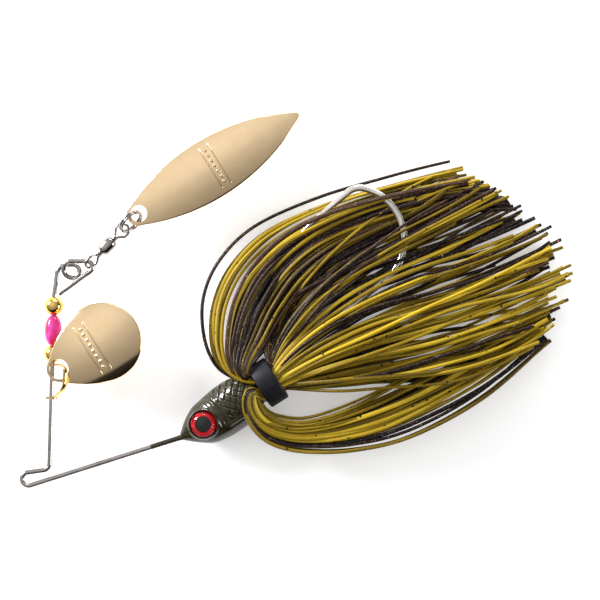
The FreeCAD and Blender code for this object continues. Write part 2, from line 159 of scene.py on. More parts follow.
def add_world():
    """A light tent: bright overhead and to the upper left, dark low down on the other side."""
    world = bpy.data.worlds.new("studio")
    bpy.context.scene.world = world
    world.use_nodes = True
    nodes, links = nodes_of(world)
    look = nodes.new("ShaderNodeTexCoord")
    facing = nodes.new("ShaderNodeVectorMath")
    facing.operation = "DOT_PRODUCT"
    facing.inputs[1].default_value = unit(np.array([-0.30, 0.45, 0.80])).tolist()
    links.new(look.outputs["Generated"], facing.inputs[0])
    level = nodes.new("ShaderNodeMapRange")
    level.inputs["From Min"].default_value = -1.0
    links.new(facing.outputs["Value"], level.inputs["Value"])
    tent = ramp(world, level.outputs["Result"], [(0.50, 0.01), (0.595, 0.03), (0.625, 0.30),
                                                 (0.79, 0.46), (0.91, 0.66), (1.0, 0.98)])
    links.new(tent, nodes["Background"].inputs["Color"])


bpy.context.scene.view_settings.view_transform = "Standard"
add_floor()
add_world()
add_softbox("key", (-0.56, 0.34, 0.24), (0, 0, 0), 0.30, 0.18, 8.5)
add_softbox("glint", (0.10, 0.52, 0.16), (0, 0, 0.005), 0.40, 0.06, 1.2)
add_softbox("fill", (0.55, -0.10, 0.20), (0, 0, 0), 0.30, 0.16, 2.0)


# ---------------- mesh helpers
def build(name, verts, faces, body, paint, replaced=(), along=None, sharp=None):
    """A mesh piece from points in millimetres. along holds a pair of numbers for each point, which
    the strand materials read as a UV map; sharp is the angle from which edges are kept sharp."""
    mesh = bpy.data.meshes.new(name)
    points = (np.asarray(verts) * MM).tolist()
    mesh.from_pydata(points, [], [tuple(int(i) for i in face) for face in faces])
    mesh.materials.append(paint)
    mesh.polygons.foreach_set("use_smooth", [True] * len(mesh.polygons))
    if along is not None:
        layer = mesh.uv_layers.new(name="along")
        index = np.empty(len(mesh.loops), dtype=np.int32)
        mesh.loops.foreach_get("vertex_index", index)
        layer.data.foreach_set("uv", np.asarray(along)[index].astype(np.float32).ravel())
    mesh.validate()
    face_outward(mesh)
    piece = link_object(name, mesh)
    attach(piece, body)
    if replaced:
        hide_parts(*replaced)
    if sharp is not None:
        sharpen(piece, sharp)
    return piece


def face_outward(mesh):
    work = bmesh.new()
    work.from_mesh(mesh)
    bmesh.ops.recalc_face_normals(work, faces=work.faces)
    work.to_mesh(mesh)
    work.free()
    mesh.update()


def sharpen(piece, degrees):
    """Keep edges that turn more than this sharp, and the rest smooth."""
    mesh = piece.data
    limit = math.radians(degrees)
    work = bmesh.new()
    work.from_mesh(mesh)
    for edge in work.edges:
        edge.smooth = edge.calc_face_angle(0.0) < limit
    work.to_mesh(mesh)
    work.free()


def joined(parts):
    """One list of points and one of faces from several (points, faces) pairs."""
    points, faces, offset = [], [], 0
    for part_points, part_faces in parts:
        points.append(np.asarray(part_points, dtype=float))
        faces.extend([tuple(i + offset for i in face) for face in part_faces])
        offset += len(part_points)
    return np.vstack(points), faces


def tube_faces(rings, around, closed=False):
    """Faces of a tube of rings, with its ends capped unless it is closed on itself."""
    faces = []
    last = rings if closed else rings - 1
    for ring in range(last):
        a = ring * around
        b = ((ring + 1) % rings) * around
        for k in range(around):
            n = (k + 1) % around
            faces.append((a + k, a + n, b + n, b + k))
    if not closed:
        faces.append(tuple(range(around))[::-1])
        faces.append(tuple((rings - 1) * around + k for k in range(around)))
    return faces


def path_frames(points, side, closed=False):
    """Tangent and two cross directions at each point of a path, carried along without twist."""
    points = np.asarray(points, dtype=float)
    if closed:
        ahead = np.roll(points, -1, axis=0) - np.roll(points, 1, axis=0)
    else:
        ahead = np.gradient(points, axis=0)
    ahead /= np.linalg.norm(ahead, axis=1)[:, None]
    first = np.asarray(side, dtype=float)
    normals = np.empty_like(points)
    for i, tangent in enumerate(ahead):
        first = unit(first - tangent * first.dot(tangent))
        normals[i] = first
    return ahead, normals, np.cross(ahead, normals)


def sweep(points, section, side=UP, widths=None, heights=None, closed=False):
    """A solid of one section swept along a path; the section's first axis points to the side."""
    _, normals, binormals = path_frames(points, side, closed)
    section = np.asarray(section, dtype=float)
    count = len(points)
    widths = np.ones(count) if widths is None else np.asarray(widths)
    heights = np.ones(count) if heights is None else np.asarray(heights)
    first = normals[:, None, :] * (section[None, :, 0, None] * widths[:, None, None])
    second = binormals[:, None, :] * (section[None, :, 1, None] * heights[:, None, None])
    verts = np.asarray(points)[:, None, :] + first + second
    return verts.reshape(-1, 3), tube_faces(count, len(section), closed)


def circle(radius, count=20):
    angles = np.linspace(0, 2 * math.pi, count, endpoint=False)
    return np.column_stack([np.cos(angles), np.sin(angles)]) * radius


def rounded_bar(width, thickness, corner, steps=2):
    """Section of a flat bar with rounded corners; its thickness lies along the first axis."""
    points = []
    for quarter, (sx, sy) in enumerate([(1, 1), (-1, 1), (-1, -1), (1, -1)]):
        centre = np.array([sx * (thickness / 2 - corner), sy * (width / 2 - corner)])
        for step in range(steps + 1):
            angle = math.pi / 2 * (quarter + step / steps)
            points.append(centre + corner * np.array([math.cos(angle), math.sin(angle)]))
    return np.array(points)


def route(start, heading, moves):
    """Points of a bent wire: ("run", length) goes straight on, ("turn", radius, degrees, climb) is
    an arc to the left, or to the right where degrees is negative. Only a half turn can climb."""
    step = 0.12
    point = np.array(start, dtype=float)
    ahead = unit(np.array(heading, dtype=float))
    points = [point]
    for move in moves:
        if move[0] == "run":
            count = max(2, round(move[1] / (step * 4)))
            points.extend(point + ahead * move[1] * i / count for i in range(1, count + 1))
            point = points[-1]
            continue
        radius, degrees, climb = move[1:]
        tilt = math.asin(climb / (2 * radius))
        left = np.cross(UP, ahead)
        side = math.copysign(1, degrees)
        axis = (UP * math.cos(tilt) - left * (side * math.sin(tilt))) * side
        centre = point + np.cross(axis, ahead) * radius
        spoke = Vector(point - centre)
        count = max(3, round(radius * math.radians(abs(degrees)) / step))
        for i in range(1, count + 1):
            turn = Matrix.Rotation(math.radians(abs(degrees)) * i / count, 3, Vector(axis))
            points.append(centre + np.array(turn @ spoke))
        ahead = np.array(turn @ Vector(ahead))
        point = points[-1]
    return np.array(points), ahead


def lathe(profile, origin, axis, side, around=48):
    """A closed solid of revolution: profile is a loop of (along the axis, radius) points."""
    axis = unit(np.asarray(axis, dtype=float))
    side = unit(np.asarray(side) - axis * np.dot(side, axis))
    other = np.cross(axis, side)
    profile = np.asarray(profile, dtype=float)
    angles = np.linspace(0, 2 * math.pi, around, endpoint=False)
    spokes = np.cos(angles)[:, None] * side + np.sin(angles)[:, None] * other
    verts = (np.asarray(origin) + profile[None, :, 0, None] * axis
             + profile[None, :, 1, None] * spokes[:, None, :])
    count = len(profile)
    faces = []
    for a in range(around):
        b = (a + 1) % around
        for k in range(count):
            n = (k + 1) % count
            faces.append((a * count + k, a * count + n, b * count + n, b * count + k))
    return verts.reshape(-1, 3), faces


def smooth_path(knots, count):
    """Catmull-Rom curve through the knots, resampled evenly to this many points."""
    knots = np.asarray(knots, dtype=float)
    padded = np.vstack([2 * knots[0] - knots[1], knots, 2 * knots[-1] - knots[-2]])
    dense = []
    steps = 14
    for i in range(1, len(padded) - 2):
        p0, p1, p2, p3 = padded[i - 1:i + 3]
        for k in range(steps):
            t = k / steps
            dense.append(0.5 * (2 * p1 + (p2 - p0) * t + (2 * p0 - 5 * p1 + 4 * p2 - p3) * t * t
                                + (3 * p1 - p0 - 3 * p2 + p3) * t ** 3))
    dense.append(knots[-1])
    dense = np.array(dense)
    travelled = travelled_along(dense)
    wanted = np.linspace(0, travelled[-1], count)
    return np.column_stack([np.interp(wanted, travelled, dense[:, k]) for k in range(3)])


# ---------------- materials
def object_coords(made, scale=(1, 1, 1)):
    """Object coordinates in millimetres times the scale."""
    nodes, links = nodes_of(made)
    source = nodes.new("ShaderNodeTexCoord")
    mapping = nodes.new("ShaderNodeMapping")
    mapping.inputs["Scale"].default_value = [axis / MM for axis in scale]
    links.new(source.outputs["Object"], mapping.inputs["Vector"])
    return mapping.outputs["Vector"]


def noise(made, coords, scale, detail=3.0, roughness=0.55):
    nodes, links = nodes_of(made)
    texture = nodes.new("ShaderNodeTexNoise")
    texture.inputs["Scale"].default_value = scale
    texture.inputs["Detail"].default_value = detail
    texture.inputs["Roughness"].default_value = roughness
    links.new(coords, texture.inputs["Vector"])
    return texture.outputs["Fac"]


def bump(made, surface, height, strength, distance):
    """Bump of this height in millimetres on the shader."""
    nodes, links = nodes_of(made)
    relief = nodes.new("ShaderNodeBump")
    relief.inputs["Strength"].default_value = strength
    relief.inputs["Distance"].default_value = distance * MM
    links.new(height, relief.inputs["Height"])
    links.new(relief.outputs["Normal"], surface.inputs["Normal"])


def metal(name, bright, dark, roughness):
    """Plated or drawn metal: faint colour drift, uneven polish and fine scratches."""
    made, surface = shader(name)
    links = made.node_tree.links
    surface.inputs["Metallic"].default_value = 1.0
    coords = object_coords(made)
    drift = noise(made, coords, 0.35)
    links.new(ramp(made, drift, [(0.3, dark), (0.7, bright)]), surface.inputs["Base Color"])
    fine = noise(made, coords, 3.0, 6.0, 0.7)
    polish = ramp(made, fine, [(0.25, roughness * 0.6), (0.75, roughness * 1.5)])
    links.new(polish, surface.inputs["Roughness"])
    bump(made, surface, fine, 0.12, 0.02)
    return made


def spots(made, under, density, share, soft, colour):
    """Round spots of a colour over the colour that is under them."""
    nodes, links = nodes_of(made)
    cells = nodes.new("ShaderNodeTexVoronoi")
    cells.inputs["Scale"].default_value = density
    links.new(object_coords(made), cells.inputs["Vector"])
    spot = ramp(made, cells.outputs["Distance"], [(share, 1.0), (share + soft, 0.0)])
    mixed = nodes.new("ShaderNodeMix")
    mixed.data_type = "RGBA"
    links.new(spot, mixed.inputs["Factor"])
    links.new(under, mixed.inputs["A"])
    mixed.inputs["B"].default_value = (*colour, 1)
    return mixed.outputs["Result"]


def silicone(name, painted_shade_tone, mid, light, fleck, fleck_share, speck_density, speck_share, glint):
    """Translucent skirt silicone: streaks along the strand and a slow tone that changes from strand
    to strand, both at random, running from a painted shade tone through its own colour to a painted
    highlight tone; fine moulded ribs across it, flecks, and specks of glitter whose sparkle is
    painted in as bright colour."""
    made, surface = shader(name)
    nodes, links = nodes_of(made)
    along = nodes.new("ShaderNodeUVMap")
    along.uv_map = "along"

    def strand_noise(scale, *settings):
        mapping = nodes.new("ShaderNodeMapping")
        mapping.inputs["Scale"].default_value = scale
        links.new(along.outputs["UV"], mapping.inputs["Vector"])
        return noise(made, mapping.outputs["Vector"], 1.0, *settings)

    blend = nodes.new("ShaderNodeMix")
    blend.inputs["Factor"].default_value = 0.45
    links.new(strand_noise((0.12, 5.0, 1.0), 4.0, 0.6), blend.inputs["A"])
    links.new(strand_noise((0.006, 0.012, 1.0), 0.0), blend.inputs["B"])
    # The ramp's darkest stop is painted shade and its lightest stop (light) is a painted highlight,
    # spread over the strand at random.
    colour = ramp(made, blend.outputs["Result"], [(0.34, painted_shade_tone), (0.50, mid), (0.64, light)])
    colour = spots(made, colour, 0.52, fleck_share, 0.02, fleck)
    # The specks' bright colour is a painted glint: the glitter's sparkle painted in as colour.
    colour = spots(made, colour, speck_density, speck_share, 0.03, glint)
    links.new(colour, surface.inputs["Base Color"])

    ribs = nodes.new("ShaderNodeTexWave")
    set_inputs(ribs, Scale=0.95, Distortion=1.2, Detail=2.0)
    links.new(along.outputs["UV"], ribs.inputs["Vector"])
    bump(made, surface, ribs.outputs["Fac"], 0.35, 0.05)
    set_inputs(surface, Roughness=0.30, Specular_IOR_Level=0.22, Subsurface_Weight=0.12,
               Subsurface_Radius=(1.0, 0.6, 0.2), Subsurface_Scale=0.5 * MM)
    return made


STEEL = metal("steel_wire", (0.52, 0.49, 0.47), (0.32, 0.30, 0.29), 0.10)
NICKEL = metal("nickel", (0.95, 0.92, 0.86), (0.74, 0.70, 0.64), 0.14)
DARK_NICKEL = metal("swivel_nickel", (0.44, 0.41, 0.39), (0.22, 0.20, 0.20), 0.10)
BLADE_GOLD = metal("blade_gold", (0.97, 0.73, 0.45), (0.93, 0.68, 0.40), 0.08)
BEAD_GOLD = metal("bead_gold", (0.93, 0.64, 0.17), (0.78, 0.48, 0.10), 0.08)
CLEVIS_GOLD = metal("clevis_gold", (0.88, 0.64, 0.28), (0.72, 0.48, 0.17), 0.11)
# Each silicone runs from a painted shade tone through its own colour to a painted highlight tone,
# and its bright specks are painted glitter glints.
OLIVE = silicone("olive_silicone", (0.020, 0.012, 0.001), (0.200, 0.130, 0.004),
                 (0.68, 0.475, 0.030), (0.008, 0.006, 0.005), 0.115, 2.0, 0.08,
                 (0.90, 0.70, 0.24))
DARK = silicone("dark_silicone", (0.003, 0.002, 0.004), (0.014, 0.007, 0.005),
                (0.078, 0.038, 0.023), (0.50, 0.26, 0.14), 0.07, 3.2, 0.13,
                (0.62, 0.44, 0.36))


def head_paint():
    """Dark olive paint under a clear coat."""
    made, surface = shader("head_paint")
    links = made.node_tree.links
    mottle = noise(made, object_coords(made), 0.8, 5.0)
    tone = ramp(made, mottle, [(0.3, (0.010, 0.008, 0.002)), (0.7, (0.030, 0.024, 0.007))])
    links.new(tone, surface.inputs["Base Color"])
    set_inputs(surface, Roughness=0.30, Specular_IOR_Level=0.15, Coat_Weight=0.80,
               Coat_Roughness=0.04)
    grit = noise(made, object_coords(made), 3.0, 3.0)
    bump(made, surface, grit, 0.08, 0.02)
    return made


def band_rubber():
    """Dull black rubber with a little dust."""
    made, surface = shader("band_rubber")
    links = made.node_tree.links
    dust = noise(made, object_coords(made), 1.5, 6.0, 0.7)
    tone = ramp(made, dust, [(0.3, (0.003, 0.003, 0.005)), (0.75, (0.011, 0.012, 0.017))])
    links.new(tone, surface.inputs["Base Color"])
    links.new(ramp(made, dust, [(0.3, 0.42), (0.7, 0.58)]), surface.inputs["Roughness"])
    surface.inputs["Specular IOR Level"].default_value = 0.22
    bump(made, surface, noise(made, object_coords(made), 8.0, 3.0), 0.2, 0.03)
    return made


def clear_resin():
    """Clear cast resin: seen straight through, with a gloss that grows towards the edges."""
    made, surface = shader("eye_resin")
    nodes, links = nodes_of(made)
    nodes.remove(surface)
    clear = nodes.new("ShaderNodeBsdfTransparent")
    gloss = nodes.new("ShaderNodeBsdfGlossy")
    haze = noise(made, object_coords(made), 2.0)
    links.new(ramp(made, haze, [(0.3, 0.02), (0.8, 0.06)]), gloss.inputs["Roughness"])
    edge = nodes.new("ShaderNodeFresnel")
    edge.inputs["IOR"].default_value = 1.36
    both = nodes.new("ShaderNodeMixShader")
    links.new(edge.outputs["Fac"], both.inputs["Fac"])
    links.new(clear.outputs["BSDF"], both.inputs[1])
    links.new(gloss.outputs["BSDF"], both.inputs[2])
    links.new(both.outputs["Shader"], nodes["Material Output"].inputs["Surface"])
    return made


def iris_foil(middle, eye_radius):
    """Red foil iris with a black pupil and a fine grain, round the eye's axis; its rings also glow
    as painted light.
    """
    made, surface = shader("iris_foil")
    nodes, links = nodes_of(made)
    shift = nodes.new("ShaderNodeMapping")
    shift.inputs["Location"].default_value = (-middle[0] * MM, -middle[1] * MM, 0)
    source = nodes.new("ShaderNodeTexCoord")
    links.new(source.outputs["Object"], shift.inputs["Vector"])
    flat = nodes.new("ShaderNodeVectorMath")
    flat.operation = "MULTIPLY"
    flat.inputs[1].default_value = (1 / MM, 1 / MM, 0)
    links.new(shift.outputs["Vector"], flat.inputs[0])
    radius = nodes.new("ShaderNodeVectorMath")
    radius.operation = "LENGTH"
    links.new(flat.outputs["Vector"], radius.inputs[0])
    share = nodes.new("ShaderNodeMath")
    share.operation = "DIVIDE"
    share.inputs[1].default_value = eye_radius
    links.new(radius.outputs["Value"], share.inputs[0])
    rings = ramp(made, share.outputs["Value"], [
        (0.0, (0.003, 0.003, 0.004)), (0.60, (0.003, 0.002, 0.004)), (0.66, (0.75, 0.003, 0.010)),
        (0.74, (1.0, 0.006, 0.030)), (0.86, (0.90, 0.004, 0.022)), (0.97, (0.30, 0.002, 0.008))])
    links.new(rings, surface.inputs["Base Color"])
    # Painted glow: the rings feed the emission too, so the iris lights itself under the clear dome.
    links.new(rings, surface.inputs["Emission Color"])
    set_inputs(surface, Emission_Strength=0.24, Roughness=0.3)
    grain = noise(made, flat.outputs["Vector"], 3.0, 5.0)
    bump(made, surface, grain, 0.3, 0.05)
    return made


def pink_plastic():
    """Clouded, half clear plastic that drifts from red to pink along the bead."""
    made, surface = shader("pink_plastic")
    links = made.node_tree.links
    cloud = noise(made, object_coords(made, (1, 0.35, 1)), 0.9, 3.0)
    tone = ramp(made, cloud, [(0.30, (1.0, 0.05, 0.03)), (0.44, (0.95, 0.02, 0.12)),
                              (0.54, (0.90, 0.03, 0.42)), (0.70, (0.95, 0.14, 0.50))])
    links.new(tone, surface.inputs["Base Color"])
    set_inputs(surface, Roughness=0.12, Transmission_Weight=0.35, Subsurface_Weight=0.3,
               Subsurface_Radius=(1.0, 0.3, 0.4), Subsurface_Scale=0.8 * MM, Coat_Weight=0.5)
    bump(made, surface, noise(made, object_coords(made), 1.5), 0.1, 0.05)
    return made


HEAD_PAINT = head_paint()
BAND_RUBBER = band_rubber()
RESIN = clear_resin()
PINK = pink_plastic()


def paint_node(node, paint):
    """Give a CAD node that shows as it is one of the materials."""
    thing = frame["nodes"][node]
    thing.data.materials.clear()
    thing.data.materials.append(paint)


# ---------------- head axis and shared places
HEAD_ANGLE = 32.5
HEAD_AHEAD = direction(HEAD_ANGLE)
HEAD_LEFT = direction(HEAD_ANGLE + 90)
LOWER_ARM_ANGLE = 17.68
eye_low, eye_high = box_mm("eye_foil_left")
EYE_MIDDLE = (eye_low + eye_high) / 2
EYE_ALONG = 4.6
NOSE = np.array([EYE_MIDDLE[0], EYE_MIDDLE[1], PLANE]) - HEAD_AHEAD * EYE_ALONG
band_low, band_high = box_mm("skirt_band")
BAND_MIDDLE = (band_low + band_high) / 2
HALF_BAND = 1.85
EYE_RADIUS = 2.35
IRIS = iris_foil(EYE_MIDDLE, EYE_RADIUS)

# ---------------- head
# Places behind the nose, with the head's half height in the side view, its half thickness and how
# far its middle line lies below the axis.
HEAD_END = 16.0
HEAD_SECTIONS = [(0, 0.75, 0.7, 0), (1.7, 2.2, 1.8, 0.05), (4.2, 3.75, 2.9, 0.2),
                 (6.8, 4.3, 3.6, 0.25), (9.6, 4.55, 4.0, 0.1), (12.2, 4.4, 4.0, 0),
                 (14.4, 3.6, 3.4, 0), (HEAD_END, 2.6, 2.6, 0)]
NECK_START = 15.4
NECK_RADIUS = 2.08
NECK_END = 21.0
SCALE_LENGTH = 1.45
SCALE_HEIGHT = 1.75
SOCKET_FLOOR = 2.62


def monotone(xs, ys, at):
    """Smooth interpolation through the samples (cubic Hermite with finite-difference slopes)."""
    xs = np.asarray(xs, dtype=float)
    ys = np.asarray(ys, dtype=float)
    slopes = np.gradient(ys, xs)
    index = np.clip(np.searchsorted(xs, at) - 1, 0, len(xs) - 2)
    gap = xs[index + 1] - xs[index]
    t = np.clip((at - xs[index]) / gap, 0, 1)
    h00 = 2 * t ** 3 - 3 * t ** 2 + 1
    h10 = t ** 3 - 2 * t ** 2 + t
    h01 = -2 * t ** 3 + 3 * t ** 2
    h11 = t ** 3 - t ** 2
    return (h00 * ys[index] + h10 * gap * slopes[index]
            + h01 * ys[index + 1] + h11 * gap * slopes[index + 1])


def head_relief(along, across):
    """How far the moulded detail sinks (negative) or stands (positive) at a point of the side
    view: along is behind the nose, across is above the middle line."""
    # gill plates: two crescent steps behind the eye
    reach = np.hypot(along - 2.4, across * 0.85)
    behind = smoothstep(1.0, 3.0, along) * smoothstep(-3.0, -1.6, across)
    step = smoothstep(5.2, 4.9, reach) * smoothstep(3.6, 4.8, reach) * behind
    plate = np.exp(-((reach - 6.0) / 0.30) ** 2) * behind
    # overlapping diamond scales on the back, above the lateral ridge: each rises to its rear
    first = along / SCALE_LENGTH + across / SCALE_HEIGHT
    second = along / SCALE_LENGTH - across / SCALE_HEIGHT
    rise = (first - np.floor(first) + second - np.floor(second)) / 2
    seam = np.minimum(np.minimum(first % 1, -first % 1), np.minimum(second % 1, -second % 1))
    scale = 0.30 * rise * smoothstep(0.0, 0.12, seam) - 0.12 * (1 - smoothstep(0.0, 0.12, seam))
    back = smoothstep(6.4, 6.9, reach) * smoothstep(-1.9, -1.5, across) \
        * (1 - smoothstep(15.0, 15.8, along))
    ridge = np.exp(-((across + 2.2 + 0.03 * along) / 0.30) ** 2) * smoothstep(5.6, 7.0, reach)
    return 0.16 * step - 0.22 * plate + (scale - 0.12) * back + 0.14 * ridge


def add_head():
    """The cast minnow head with scales, gill plates and eye sockets, and the neck behind it."""
    stations = np.concatenate([np.linspace(0, HEAD_END, 220), np.linspace(16.1, NECK_END, 10)])
    angles = np.linspace(0, 2 * math.pi, 280, endpoint=False)
    samples = np.array(HEAD_SECTIONS)
    heights = monotone(samples[:, 0], samples[:, 1], stations)
    depths = monotone(samples[:, 0], samples[:, 2], stations)
    drops = monotone(samples[:, 0], samples[:, 3], np.minimum(stations, HEAD_END))
    neck = stations > NECK_START
    past_head = stations[neck] > HEAD_END
    heights[neck] = np.maximum(np.where(past_head, 0, heights[neck]), NECK_RADIUS)
    depths[neck] = np.maximum(np.where(past_head, 0, depths[neck]), NECK_RADIUS)
    across = heights[:, None] * np.cos(angles)
    lift = depths[:, None] * np.sin(angles)
    along = np.repeat(stations[:, None], len(angles), axis=1)
    sunk = head_relief(along, across) - 0.02
    facing = smoothstep(0.12, 0.4, np.abs(np.sin(angles)))[None, :]
    sunk = sunk * facing * smoothstep(HEAD_END, 15.5, along)
    spread = np.hypot(across, lift)
    across = across * (1 + sunk / spread)
    lift = lift * (1 + sunk / spread)
    # eye sockets: a flat floor with a raised rim
    eye_reach = np.hypot(along - EYE_ALONG, across - drops[:, None])
    rim = 0.22 * np.exp(-((eye_reach - 2.72) / 0.2) ** 2)
    inside = 1 - smoothstep(2.38, 2.5, eye_reach)
    sign = np.sign(lift)
    depth = np.abs(lift) + rim * smoothstep(1.2, 1.8, np.abs(lift))
    raised = np.maximum(depth, (SOCKET_FLOOR + 0.35) * smoothstep(3.0, 2.6, eye_reach))
    depth = np.where((eye_reach < 3.0) & (np.abs(lift) > 1.0), raised, depth)
    depth = depth * (1 - inside) + np.minimum(depth, SOCKET_FLOOR) * inside
    lift = sign * depth
    across = across - drops[:, None]
    verts = NOSE + along[..., None] * HEAD_AHEAD + across[..., None] * HEAD_LEFT \
        + lift[..., None] * UP
    faces = tube_faces(len(stations), len(angles))
    build("head_casting", verts.reshape(-1, 3), faces, "root", HEAD_PAINT,
          ("lead_head",))


def add_sleeve():
    """Head paint that ran a little way along the wire, thinning to nothing."""
    share = np.linspace(0, 1, 40)
    places = np.linspace(-0.6, 6.0, len(share))
    points = [NOSE - direction(LOWER_ARM_ANGLE) * along for along in places]
    fat = 0.62 - 0.14 * smoothstep(0, 0.25, share) - 0.02 * share
    verts, faces = sweep(points, circle(1.0, 24), UP, fat, fat)
    build("painted_sleeve", verts, faces, "root", HEAD_PAINT)


add_head()
add_sleeve()

# ---------------- wire frame, hook
HOOK_EYE_ALONG = 8.0
HOOK_EYE = NOSE + HEAD_AHEAD * HOOK_EYE_ALONG
UPPER_ARM_ANGLE = 88.4
TIE_RUN_ANGLE = 8.0
NECK_ANGLE = 82.2
HOOK_RADIUS = 0.55
HOOK_EYE_RADIUS = 1.25
SHANK_ANGLE = 38.8
FORGED_FROM = (34, 41)
FORGED_TO = (60, 67)


def add_frame():
    """The wire as it is bent: through the hook's eye inside the head, out of the nose, round the
    line tie, up the blade arm, and round the closed loop that holds the swivel."""
    slant = math.radians(HEAD_ANGLE - LOWER_ARM_ANGLE)
    reach = HOOK_EYE_ALONG / math.cos(slant)
    drop = reach * math.sin(slant)
    inner_turn = 270 + HEAD_ANGLE - (180 + LOWER_ARM_ANGLE)
    inner_tangent = math.tan(math.radians(inner_turn / 2))
    points, _ = route(HOOK_EYE + HEAD_LEFT * 1.6, -HEAD_LEFT, [
        ("run", 1.6 + drop - inner_tangent), ("turn", 1.0, -inner_turn, 0),
        ("run", 28.69 + reach - inner_tangent),
        ("turn", 1.2, -(180 + LOWER_ARM_ANGLE - TIE_RUN_ANGLE), 0),
        ("run", 2.85), ("turn", 1.3, UPPER_ARM_ANGLE - TIE_RUN_ANGLE, 0),
        ("run", 30.2), ("turn", 3.0, NECK_ANGLE - UPPER_ARM_ANGLE, 0),
        ("run", 3.8), ("turn", 1.7, -NECK_ANGLE, 0), ("run", 1.12),
        ("turn", 1.2, -180, 0), ("turn", 1.6, -180, 1.05), ("run", 2.6),
        ("turn", 1.05, -144.0, 0), ("run", 6.9)])
    verts, faces = sweep(points, circle(WIRE_RADIUS, 28))
    build("bent_frame_wire", verts, faces, "root", STEEL, ("wire_frame",), sharp=50)


def add_hook():
    """The hook: an eye that stands across its plane, a round shank, a forged bend, and a spear
    with a cut barb and a tapered point."""
    shank = direction(SHANK_ANGLE)
    points, ahead = route(HOOK_EYE + shank * HOOK_EYE_RADIUS, shank, [
        ("run", 37.3), ("turn", 8.0, 38.2, 0), ("run", 0.5), ("turn", 9.5, 89.0, 0),
        ("turn", 3.3, 54.6, 0), ("run", 7.7)])
    travelled = travelled_along(points)
    # the bend is forged: squeezed flat across the hook's plane and a little deeper in it
    forged = smoothstep(*FORGED_FROM, travelled) * (1 - smoothstep(*FORGED_TO, travelled))
    spear_end = points[-1]
    tip_steps = np.linspace(0, 1, 26)[1:]
    tip = spear_end + ahead * 4.2 * tip_steps[:, None]
    taper = 1 - 0.90 * tip_steps ** 1.15
    widths = np.concatenate([1 - 0.16 * forged, taper])
    heights = np.concatenate([1 + 0.14 * forged, taper])
    bar = sweep(np.vstack([points, tip]), circle(HOOK_RADIUS, 28), UP, widths, heights)
    ring = [HOOK_EYE + HOOK_EYE_RADIUS * (math.cos(a) * shank + math.sin(a) * UP)
            for a in np.linspace(0, 2 * math.pi, 60, endpoint=False)]
    eye = sweep(ring, circle(0.5, 16), HEAD_LEFT, closed=True)
    inward = np.cross(UP, ahead)
    barb_base = spear_end - ahead * 1.3
    barb_points = []
    for lift in (-0.25, 0.25):
        for along, out in ((1.4, 0.25), (-0.1, 0.80), (-1.2, 1.32), (-0.75, 0.85), (-0.55, 0.30)):
            thin = 1 - 0.7 * max(0.0, out - 0.3)
            barb_points.append(barb_base + ahead * along + inward * out + UP * lift * thin)
    count = len(barb_points) // 2
    barb_faces = [tuple(range(count)), tuple(range(count, 2 * count))[::-1]]
    barb_faces += [(k, k + count, (k + 1) % count + count, (k + 1) % count) for k in range(count)]
    verts, faces = joined([bar, eye, (np.array(barb_points), barb_faces)])
    build("forged_hook", verts, faces, "root", NICKEL, ("hook",), sharp=40)


add_frame()
add_hook()


# ---------------- eyes and collar
def add_dome(side, lift):
    """A clear domed cap over one eye; lift is 1 on the upper side and -1 on the lower one."""
    node = f"eye_dome_{side}"
    low, high = box_mm(node)
    base = low[2] if lift > 0 else high[2]
    rise = 1.2
    ball = (EYE_RADIUS ** 2 + rise ** 2) / (2 * rise)
    profile = [(0, 0.001)]
    for angle in np.linspace(0, math.asin(EYE_RADIUS / ball), 16):
        profile.append((rise - ball * (1 - math.cos(angle)), max(0.001, ball * math.sin(angle))))
    origin = np.array([EYE_MIDDLE[0], EYE_MIDDLE[1], base])
    verts, faces = lathe(profile, origin, UP * lift, HEAD_AHEAD, 72)
    build("resin_dome_" + side, verts, faces, "root", RESIN, (node,))


def add_band():
    """The rubber collar that grips the strands, with rounded outer edges."""
    half, outer, inner, edge = HALF_BAND, 4.2, 3.0, 0.35
    profile = []
    for sign in (1, -1):
        for k in range(5):
            angle = math.pi / 2 * (k / 4 if sign > 0 else 1 - k / 4)
            profile.append((sign * (half - edge + edge * math.cos(angle)),
                            outer - edge + edge * math.sin(angle)))
    profile += [(-half, inner), (half, inner)]
    verts, faces = lathe(profile, BAND_MIDDLE, HEAD_AHEAD, UP, 96)
    build("rubber_collar", verts, faces, "root", BAND_RUBBER, ("skirt_band",),
          sharp=50)


for eye_side, eye_lift in (("left", 1), ("right", -1)):
    add_dome(eye_side, eye_lift)
    paint_node("eye_foil_" + eye_side, IRIS)
add_band()


# ---------------- skirt strands
STRAND_WIDTH = 0.76
STRAND_THICKNESS = 0.50
STRAND_STEPS = 48
# Levels that the strands keep to: clear of the hook above and below it, and inside the CAD box.
OVER_HOOK = PLANE + 1.0
UNDER_HOOK = PLANE - 1.0
LOWEST = 0.42
HIGHEST = 11.4


def collar_point(offset, angle, radius):
    """A point beside the collar: offset from its middle along the head's axis, angle from the
    head's left side towards the top."""
    ring = HEAD_LEFT * math.cos(angle) + UP * math.sin(angle)
    return BAND_MIDDLE + HEAD_AHEAD * offset + ring * radius


def strand(path, width=1.0, twist=0.0):
    """Points, faces and map coordinates of one flat strand along a path."""
    section = rounded_bar(STRAND_WIDTH * width, STRAND_THICKNESS, 0.14, 1)
    ahead, normals, binormals = path_frames(path, UP)
    turn = np.linspace(0, twist, len(path))
    first = normals * np.cos(turn)[:, None] + binormals * np.sin(turn)[:, None]
    second = np.cross(ahead, first)
    verts = path[:, None, :] + first[:, None, :] * section[None, :, 0, None] \
        + second[:, None, :] * section[None, :, 1, None]
    travelled = travelled_along(path)
    around = np.linspace(0, 1, len(section), endpoint=False) * 3.1
    offset = rng.uniform(0, 900)
    along = np.broadcast_arrays(travelled[:, None] + offset, around[None, :] + offset)
    faces = tube_faces(len(path), len(section))
    return verts.reshape(-1, 3), faces, np.stack(along, axis=-1).reshape(-1, 2)


